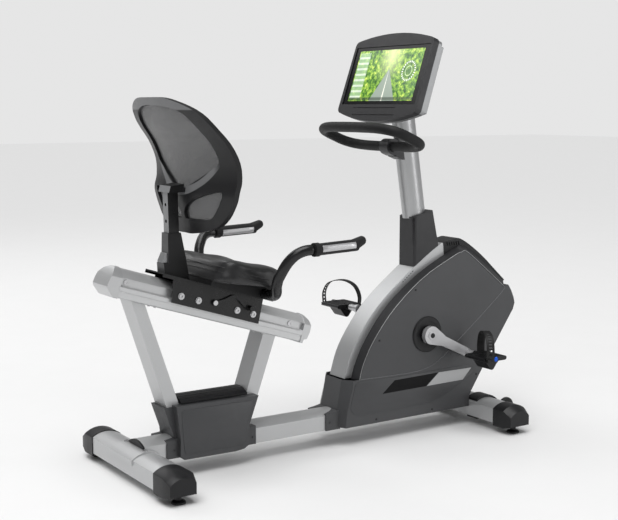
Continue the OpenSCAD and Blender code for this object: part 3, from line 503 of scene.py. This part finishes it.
# ---- CAD nodes: rounded copies, or the node itself in a better material ----
ROUNDED = {
    "base_beam": 2.0, "rear_bar": 2.0, "front_bar": 1.2, "bar_end_caps": 4.0, "tower_cover_right": 2.5,
    "tower_cover_left": 2.5, "step_cover": 1.5, "rear_post": 3.0, "front_post": 3.0, "seat_rail": 0.8,
    "rail_end_caps": 3.5, "spine": 2.5, "shroud_right": 1.4, "shroud_left": 1.4, "trim_bands": 1.0,
    "lower_cover_right": 2.0, "lower_cover_left": 2.0, "top_cap": 2.0, "bar_sleeves": 1.5, "crank_seals": 0.8,
    "mast": 0.8, "mast_sleeve": 3.0, "handlebar_clamp": 2.5, "console_front": 2.5, "console_back": 3.5,
    "crank_right": 1.8, "crank_left": 1.8, "pedal_right": 1.2, "pedal_left": 1.2, "carriage": 1.2,
    "roller_bolts": 0.6, "seat_pan": 1.0, "post_cover": 3.0, "back_post": 1.2, "back_frame": 3.0,
    "height_pin": 1.2, "seat_lever": 1.0, "wheel_right": 1.0, "wheel_left": 1.0,
    "foot_rear_right": 1.0, "foot_rear_left": 1.0, "foot_front_right": 1.0, "foot_front_left": 1.0,
}
for node_name, edge_width in ROUNDED.items():
    edged(node_name, edge_width)
edged("handlebar_loop", 0, subdivide=1)
edged("grip_tube", 0, subdivide=1)
for node_name, o in nodes.items():
    if not o.hide_render:
        o.data.materials.clear()
        o.data.materials.append(MATERIALS[slot_of_node[node_name]])

# ---- cushion ----
RAIL_PLACE = Vector((-724.8, 0, 545.1)) * MM
COS, SIN = math.cos(RAIL_TURN), math.sin(RAIL_TURN)


def to_rail(points):
    """World points as (down the rail, across, square to it), in metres."""
    x, z = points[:, 0] - RAIL_PLACE.x, points[:, 2] - RAIL_PLACE.z
    return np.stack([x * COS - z * SIN, points[:, 1], x * SIN + z * COS], 1)


def from_rail(points):
    x, z = points[:, 0], points[:, 2]
    return np.stack([x * COS + z * SIN + RAIL_PLACE.x, points[:, 1], -x * SIN + z * COS + RAIL_PLACE.z], 1)


def coords(mesh):
    co = np.zeros(len(mesh.vertices) * 3)
    mesh.vertices.foreach_get("co", co)
    return co.reshape(-1, 3)


def set_coords(mesh, co):
    mesh.vertices.foreach_set("co", co.ravel())
    mesh.update()


def smoothstep(a, b, v):
    t = np.clip((v - a) / (b - a), 0, 1)
    return t * t * (3 - 2 * t)


# cushion, in metres: mesh size, how much smaller it starts, how far cloth may move it, and the height
# above the rail where its free top begins
VOXEL = 0.0055
CUSHION_SHRINK = 0.006
TOP_SHRINK = 0.004
SWELL_CAP = 0.009
CUSHION_FOOT = 0.141
# the dish between the side bolsters, from and to these shares of the half width, and the lowered nose
DISH_DEPTH, DISH_MIDDLE, DISH_FROM, DISH_TO = 0.012, 0.55, 0.25, 0.85
NOSE_DROP, NOSE_FROM, NOSE_TO = 0.006, 0.36, 0.46
PRESSURE, CLOTH_FRAMES = 4, 20
SOFTEN_ROUNDS, EVEN_ROUNDS, SETTLE_ROUNDS = 36, 90, 8


def evened(mesh, values, rounds):
    """Values at a mesh's points, averaged with their neighbours' so that fine creases go."""
    ends = np.zeros(len(mesh.edges) * 2, dtype=np.int64)
    mesh.edges.foreach_get("vertices", ends)
    a, b = ends[0::2], ends[1::2]
    count = len(mesh.vertices)
    near = np.bincount(a, minlength=count) + np.bincount(b, minlength=count)
    for _ in range(rounds):
        total = np.stack([np.bincount(a, values[b, k], count) + np.bincount(b, values[a, k], count)
                          for k in range(3)], 1)
        values = 0.5 * values + 0.5 * total / near[:, None]
    return values


def make_cushion():
    """The seat pad: a pumped-up cloth skin with side bolsters and a dished middle."""
    mesh = nodes["cushion"].data.copy()
    o = link("seat_cushion", mesh, "seat", MATERIALS["seat_leather"])
    m = o.modifiers.new("skin", "REMESH")
    m.mode = "VOXEL"
    m.voxel_size = VOXEL
    applied(o)
    m = o.modifiers.new("soft", "SMOOTH")
    m.iterations = SOFTEN_ROUNDS
    m.factor = 0.5
    applied(o)
    co = to_rail(coords(o.data))
    low, high = co.min(0), co.max(0)
    middle = (low + high) / 2
    half = (high - low) / 2
    above = smoothstep(CUSHION_FOOT, CUSHION_FOOT + 0.03, co[:, 2])
    side = np.abs(co[:, 1]) / half[1]
    dish = (smoothstep(DISH_FROM, DISH_TO, side) - DISH_MIDDLE) * DISH_DEPTH
    nose = smoothstep(NOSE_FROM, NOSE_TO, co[:, 0]) * NOSE_DROP
    co[:, 2] += above * (dish - nose)
    co[:, 0] = middle[0] + (co[:, 0] - middle[0]) * (1 - CUSHION_SHRINK / half[0])
    co[:, 1] *= 1 - CUSHION_SHRINK / half[1]
    co[:, 2] -= above * TOP_SHRINK
    start = from_rail(co)
    set_coords(o.data, start)
    cloth = o.modifiers.new("cloth", "CLOTH")
    settings = cloth.settings
    settings.use_pressure = True
    settings.uniform_pressure_force = PRESSURE
    settings.effector_weights.gravity = 0
    settings.quality = 5
    scene = bpy.context.scene
    for f in range(1, CLOTH_FRAMES + 1):
        scene.frame_set(f)
    swollen = o.evaluated_get(bpy.context.evaluated_depsgraph_get()).to_mesh()
    moved = coords(swollen) - start
    scene.frame_set(1)
    o.modifiers.clear()
    far = np.linalg.norm(moved, axis=1, keepdims=True)
    moved *= np.minimum(1.0, SWELL_CAP / np.maximum(far, 1e-9))
    moved = evened(o.data, moved, EVEN_ROUNDS)
    free = 0.15 + 0.85 * smoothstep(CUSHION_FOOT - 0.012, CUSHION_FOOT + 0.012, to_rail(start)[:, 2])
    set_coords(o.data, start + moved * free[:, None])
    m = o.modifiers.new("settle", "SMOOTH")
    m.iterations = SETTLE_ROUNDS
    m.factor = 0.5
    applied(o)
    m = o.modifiers.new("fine", "SUBSURF")
    m.levels = m.render_levels = 1
    applied(o)
    smooth(o.data, 80)
    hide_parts("cushion")
    return o


cushion = make_cushion()
RIM_POINTS = 72


def rim_line(o, level):
    """Points round a cushion at one height in metres above the rail, in mm in the world."""
    co = to_rail(coords(o.data))
    centre = (co.min(0) + co.max(0)) / 2
    ring = []
    near = co[np.abs(co[:, 2] - level) < 0.006]
    angles = np.arctan2(near[:, 1] - centre[1], near[:, 0] - centre[0])
    reach = np.hypot(near[:, 0] - centre[0], near[:, 1] - centre[1])
    for k in range(RIM_POINTS):
        a = 2 * math.pi * k / RIM_POINTS
        apart = np.abs((angles - a + math.pi) % (2 * math.pi) - math.pi)
        r = reach[apart < 0.06].max()
        ring.append((centre[0] + r * math.cos(a), centre[1] + r * math.sin(a), level))
    ring = np.array(ring)
    for _ in range(3):
        ring = (np.roll(ring, 1, 0) + ring * 2 + np.roll(ring, -1, 0)) / 4
    return from_rail(ring) / MM


for piece_name, level, radius in (("cushion_piping", 0.158, 1.6), ("cushion_hem", 0.144, 1.1)):
    line_tube(piece_name, rim_line(cushion, level), radius, "seat", MATERIALS["seat_leather"],
              True)


# ---- backrest mesh: the front skin of the CAD sheet, cut to its three windows ----
# how far a face's normal leans forward for it to count as front
FRONT_FACING = 0.45


def make_back_mesh():
    b = bmesh.new()
    b.from_mesh(nodes["back_mesh"].data)
    bmesh.ops.remove_doubles(b, verts=b.verts, dist=0.0001)
    b.normal_update()
    bmesh.ops.delete(b, geom=[f for f in b.faces if f.normal.x < FRONT_FACING], context="FACES")
    bmesh.ops.delete(b, geom=[v for v in b.verts if not v.link_faces], context="VERTS")
    bmesh.ops.dissolve_limit(b, angle_limit=math.radians(0.3), verts=b.verts, edges=b.edges)
    bmesh.ops.triangulate(b, faces=b.faces)
    bmesh.ops.subdivide_edges(b, edges=b.edges, cuts=1, use_grid_fill=True)
    mesh = bpy.data.meshes.new("back_net")
    b.to_mesh(mesh)
    b.free()
    smooth(mesh, 70)
    o = link("back_net", mesh, "backrest", MATERIALS["mesh_fabric"])
    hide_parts("back_mesh")


make_back_mesh()

# ---- screen picture under the glass ----
def on_console(depth, across, up):
    """A point in mm: depth behind the display's face, across to the rider's left, up the glass."""
    c, s = math.cos(TILT), math.sin(TILT)
    return DISPLAY_PLACE + Vector((depth * c + up * s, across, up * c - depth * s)) * MM


def make_screen():
    b = bmesh.new()
    w, h = SCREEN_WIDTH / 2, SCREEN_HEIGHT / 2
    corners = rounded([(-w, -h), (w, -h), (w, h), (-w, h)], 3)
    front = b.faces.new([b.verts.new(on_console(-SCREEN_PROUD, y, z)) for y, z in corners])
    out = bmesh.ops.extrude_face_region(b, geom=[front])
    back = on_console(0, 0, 0) - on_console(-SCREEN_PROUD, 0, 0)
    bmesh.ops.translate(b, vec=back, verts=[g for g in out["geom"] if isinstance(g, bmesh.types.BMVert)])
    bmesh.ops.recalc_face_normals(b, faces=b.faces)
    mesh = bpy.data.meshes.new("screen_image")
    b.to_mesh(mesh)
    b.free()
    link("screen_image", mesh, "frame", picture_material())


make_screen()

# ---- raised panels and strips on the mouldings, both sides ----
# outlines in x and z, in mm; the mouldings' side faces stand this far from the middle
HOUSING_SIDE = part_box("shroud_left")[1].y / MM
TOWER_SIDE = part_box("tower_cover_left")[1].y / MM
LOWER_PANEL = [(78, 205), (66, 160), (54, 118), (80, 92), (387, 97), (459, 119), (574, 180), (558, 205),
               (412, 205), (345, 202), (255, 201)]
TOWER_PANEL = [(-540, 200), (-294, 198), (-324, 124), (-325, 76), (-338, 64), (-530, 64), (-535, 112)]
DARK_STRIP = [(183, 153), (232, 192), (414, 195), (363, 155)]
PALE_STRIP = [(367, 155), (418, 195), (560, 194), (523, 157)]
PANEL_SUNK, PANEL_PROUD = 0.5, 1.3
STRIP_SUNK, STRIP_PROUD = 1.0, 1.7
HOUSING_SCREWS = [(316, 482), (170, 330), (160, 72), (392, 72), (584, 168)]
TOWER_SCREWS = [(-498, 193), (-342, 191)]
SCREW_RADIUS, SCREW_SUNK, SCREW_THICK = 3.6, 1.2, 0.7

for side_name, sign in (("right", -1), ("left", 1)):
    for piece_name, outline, side, corner in (("lower_panel", LOWER_PANEL, HOUSING_SIDE, 16),
                                              ("tower_panel", TOWER_PANEL, TOWER_SIDE, 12)):
        plate(f"{piece_name}_{side_name}", rounded(outline, corner), sign * (side - PANEL_SUNK),
              sign * (side + PANEL_PROUD), "frame", MATERIALS["graphite_plastic"], 0.9)
    for piece_name, outline, paint, slot in (("dark_strip", DARK_STRIP, label_black, "black_plastic"),
                                             ("pale_strip", PALE_STRIP, label_grey, "console_silver")):
        plate(f"{piece_name}_{side_name}", outline, sign * (HOUSING_SIDE + STRIP_SUNK),
              sign * (HOUSING_SIDE + STRIP_PROUD), "frame", paint, 0.15)
    screws = [(p, HOUSING_SIDE) for p in HOUSING_SCREWS] + [(p, TOWER_SIDE) for p in TOWER_SCREWS]
    for k, (place, side) in enumerate(screws):
        y = side - SCREW_SUNK
        plate(f"cover_screw_{side_name}_{k}", circle(place, SCREW_RADIUS, 16), sign * y,
              sign * (y + SCREW_THICK), "frame", MATERIALS["black_plastic"], 0.2)

# ---- hand grips: pulse plates let into the grips ----
# the grip's axis in mm: its distance from the middle, the point it passes through and its fall forwards
GRIP_Y, GRIP_X, GRIP_Z = 290, -210, 672
GRIP_FALL = math.sin(math.radians(2)) * 0.98
PLATE_INNER, PLATE_OUTER = 16.9, 18.3
PLATE_X0, PLATE_X1 = -204, -88
PLATE_RUNS, PLATE_STEPS = 6, 12


def grip_plate(name, sign, a0, a1):
    """A thin curved plate hugging the grip between two angles about its axis, in degrees."""

    def place(i, j, r):
        x = PLATE_X0 + (PLATE_X1 - PLATE_X0) * i / PLATE_RUNS
        a = math.radians(a0 + (a1 - a0) * j / PLATE_STEPS)
        return Vector((x, sign * (GRIP_Y + r * math.cos(a)),
                       GRIP_Z + (x - GRIP_X) * GRIP_FALL + r * math.sin(a))) * MM

    b = bmesh.new()
    rows = [[[b.verts.new(place(i, j, r)) for j in range(PLATE_STEPS + 1)] for i in range(PLATE_RUNS + 1)]
            for r in (PLATE_INNER, PLATE_OUTER)]
    for i in range(PLATE_RUNS):
        for j in range(PLATE_STEPS):
            for layer in rows:
                b.faces.new([layer[i][j], layer[i + 1][j], layer[i + 1][j + 1], layer[i][j + 1]])
    for i in range(PLATE_RUNS):
        for j in (0, PLATE_STEPS):
            b.faces.new([rows[0][i][j], rows[0][i + 1][j], rows[1][i + 1][j], rows[1][i][j]])
    for j in range(PLATE_STEPS):
        for i in (0, PLATE_RUNS):
            b.faces.new([rows[0][i][j], rows[0][i][j + 1], rows[1][i][j + 1], rows[1][i][j]])
    bmesh.ops.recalc_face_normals(b, faces=b.faces)
    mesh = bpy.data.meshes.new(name)
    b.to_mesh(mesh)
    b.free()
    o = link(name, mesh, "seat", MATERIALS["polished_steel"])
    m = o.modifiers.new("round", "BEVEL")
    m.width = 0.4 * MM
    m.segments = 2
    m.limit_method = "ANGLE"
    applied(o)
    smooth(o.data)


for side_name, sign in (("right", -1), ("left", 1)):
    grip_plate(f"pulse_plate_outer_{side_name}", sign, -22, 40)
    grip_plate(f"pulse_plate_inner_{side_name}", sign, 160, 222)


# ---- toe straps, with a row of slots up the outer side ----
# the crank's axis in x and z, its length and its fall; all in mm
axle_low, axle_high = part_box("crank_axle")
CRANK = Vector((axle_low.x + axle_high.x, axle_low.z + axle_high.z)) / 2 / MM
CRANK_LENGTH, CRANK_FALL = 173, math.radians(25.7)
PEDAL_REACH = Vector((CRANK_LENGTH * math.cos(CRANK_FALL), -CRANK_LENGTH * math.sin(CRANK_FALL)))
PEDAL_Y, STRAP_TURN, STRAP_WIDTH, STRAP_THICK = 193, math.radians(28), 26, 2.2
STRAP_ARCH = [(-65, -2), (-68, 34), (-49, 70), (-8, 86), (43, 76), (66, 42), (65, -2)]
SLOT_HALF = 5
FIRST_SLOT, LAST_SLOT = 23, 46
LUG_X, LUG_Y, LUG_SIZE = 31, 53.5, (22, 11, 9)


def make_strap(side, sign, centre):
    arch = spline(STRAP_ARCH, 8)
    columns = [-STRAP_WIDTH / 2, -SLOT_HALF, SLOT_HALF, STRAP_WIDTH / 2]
    b = bmesh.new()
    grid = []
    for p in arch:
        row = []
        for c in columns:
            x = c * math.cos(STRAP_TURN) - p.x * math.sin(STRAP_TURN)
            y = c * math.sin(STRAP_TURN) + p.x * math.cos(STRAP_TURN)
            row.append(b.verts.new(Vector((centre.x + x, sign * (PEDAL_Y + y), centre.y + p.y)) * MM))
        grid.append(row)
    for i in range(len(arch) - 1):
        for j in range(3):
            if not (j == 1 and FIRST_SLOT <= i <= LAST_SLOT and i % 2):
                b.faces.new([grid[i][j], grid[i + 1][j], grid[i + 1][j + 1], grid[i][j + 1]])
    bmesh.ops.recalc_face_normals(b, faces=b.faces)
    for end in (-1, 1):
        place = Vector((centre.x - end * LUG_X, sign * (PEDAL_Y + end * LUG_Y), centre.y)) * MM
        size = Matrix.Diagonal([v * MM for v in LUG_SIZE] + [1])
        bmesh.ops.create_cube(b, size=1, matrix=Matrix.Translation(place) @ size)
    mesh = bpy.data.meshes.new("toe_strap_" + side)
    b.to_mesh(mesh)
    b.free()
    o = link("toe_strap_" + side, mesh, "pedal_" + side, MATERIALS["belt_rubber"])
    m = o.modifiers.new("thick", "SOLIDIFY")
    m.thickness = STRAP_THICK * MM
    m.offset = 0
    m = o.modifiers.new("round", "BEVEL")
    m.width = 0.5 * MM
    m.segments = 2
    m.limit_method = "ANGLE"
    applied(o)
    smooth(o.data, 50)
    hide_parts("strap_" + side)


make_strap("right", -1, CRANK + PEDAL_REACH)
make_strap("left", 1, CRANK - PEDAL_REACH)

# ---- the joint line between the mouldings, drawn pale as a painted highlight on its edge; crank caps and pedal end caps ----
SEAM = [(96, 211), (255, 208), (345, 212), (412, 233), (513, 304), (655, 411), (708, 456)]
# the joint is real; its pale grey is a painted highlight, for the light its edge catches
seam_painted_highlight = finish_material("seam_painted_highlight", (0.17, 0.172, 0.178), 0.4, 0.3, 900, 0.05, 0.00005)
CRANK_CAP_Y, CRANK_CAP_RADIUS = (107.8, 109.2), 8.5
PEDAL_CAP_Y, PEDAL_CAP_RADIUS = (242.5, 244.5), 8
PEDAL_RISE = 2


def disc(name, centre, radius, y, sign, body, paint):
    """A round cap between two distances from the middle."""
    plate(name, circle(centre, radius, 32), sign * y[0], sign * y[1], body, paint, 0.4)


for side_name, sign, pedal in (("right", -1, CRANK + PEDAL_REACH), ("left", 1, CRANK - PEDAL_REACH)):
    line_tube("seam_highlight_line_" + side_name, [(p.x, sign * HOUSING_SIDE, p.y) for p in spline(SEAM, 4)], 0.7,
              "frame", seam_painted_highlight)
    disc("crank_cap_" + side_name, CRANK, CRANK_CAP_RADIUS, CRANK_CAP_Y, sign, "crank",
         MATERIALS["black_plastic"])
    disc("pedal_cap_" + side_name, (pedal.x, pedal.y + PEDAL_RISE), PEDAL_CAP_RADIUS, PEDAL_CAP_Y, sign,
         "pedal_" + side_name, blue_anodised)

# ---- a painted highlight line inside the trim band, where its rounded edge catches light, and the vents on the spine, drawn as dark plates of painted shade ----
TRIM_INNER = [(92, 211), (108, 263), (150, 336), (230, 429), (350, 522), (480, 585), (510, 594), (532, 595),
              (600, 545), (704, 462)]
TRIM_Y = HOUSING_SIDE + 0.1
# vents: how many, the first one's place, the step to the next, their turn, half size and y
VENTS, VENT_FIRST, VENT_STEP = 6, (292, 507), (8.0, 6.2)
VENT_TURN, VENT_HALF, VENT_Y = math.radians(37), (2.6, 1.4), (40.6, 41.4)


def vent_corners(k):
    """The corners of the spine's k-th vent."""
    c, s = math.cos(VENT_TURN), math.sin(VENT_TURN)
    x, z = (VENT_FIRST[i] + k * VENT_STEP[i] for i in range(2))
    w, h = VENT_HALF
    return [(x + u * c - v * s, z + u * s + v * c) for u, v in ((-w, -h), (w, -h), (w, h), (-w, h))]


for side_name, sign in (("right", -1), ("left", 1)):
    # painted highlight: a silver cord for the light on the trim's rounded inner edge
    line_tube("trim_highlight_line_" + side_name, [(p.x, sign * TRIM_Y, p.y) for p in spline(TRIM_INNER, 5)], 0.8,
              "frame", MATERIALS["spine_silver"])
    for k in range(VENTS):
        # each vent is a thin dark plate on the spine, painted shade where the opening would be
        plate(f"spine_vent_{side_name}_{k}", vent_corners(k), sign * VENT_Y[0], sign * VENT_Y[1], "frame",
              vent_painted_shade, 0.2)

# ---- floor, lights and backdrop ----
FLOOR_HALF = 30
floor_mesh = bpy.data.meshes.new("floor")
b = bmesh.new()
bmesh.ops.create_grid(b, x_segments=8, y_segments=8, size=FLOOR_HALF)
b.to_mesh(floor_mesh)
b.free()
floor = bpy.data.objects.new("floor", floor_mesh)
floor_paint = finish_material("floor", (0.80, 0.80, 0.80), 0.6, 0.0, 500, 0.1, 0.0001, 0.01)
floor.data.materials.append(floor_paint)
bpy.context.scene.collection.objects.link(floor)


def area_light(name, place, aim, size, power):
    data = bpy.data.lights.new(name, "AREA")
    data.shape = "RECTANGLE"
    data.size = size[0]
    data.size_y = size[1]
    data.energy = power
    o = bpy.data.objects.new(name, data)
    o.location = place
    o.rotation_euler = (Vector(aim) - Vector(place)).to_track_quat("-Z", "Y").to_euler()
    bpy.context.scene.collection.objects.link(o)


AIM = (0, 0, 0.6)
SUN_POWER, SUN_SPREAD = 2.3, math.radians(50)
BACKDROP_SEEN, BACKDROP_LIGHT = 0.79, 0.30
area_light("key", (-3.4, -2.4, 4.4), AIM, (3.0, 3.0), 55)
area_light("side", (3.6, -4.2, 2.0), AIM, (1.0, 3.6), 45)
area_light("rear", (-1.0, 4.4, 4.2), AIM, (4.0, 2.0), 50)
sun_data = bpy.data.lights.new("overhead", "SUN")
sun_data.energy = SUN_POWER
sun_data.angle = SUN_SPREAD
sun = bpy.data.objects.new("overhead", sun_data)
sun.rotation_euler = (math.radians(6), math.radians(-10), 0)
bpy.context.scene.collection.objects.link(sun)
# the backdrop is pale to look at, and lights the bike less than it shows
world = bpy.data.worlds.new("studio")
world.use_nodes = True
tree = world.node_tree
path = tree.nodes.new("ShaderNodeLightPath")
lit = tree.nodes.new("ShaderNodeMapRange")
tree.links.new(path.outputs["Is Camera Ray"], lit.inputs["Value"])
lit.inputs["To Min"].default_value = BACKDROP_LIGHT
lit.inputs["To Max"].default_value = BACKDROP_SEEN
tree.nodes["Background"].inputs["Color"].default_value = (1, 1, 1, 1)
tree.links.new(lit.outputs["Result"], tree.nodes["Background"].inputs["Strength"])
bpy.context.scene.world = world
bpy.context.scene.view_settings.view_transform = "Standard"
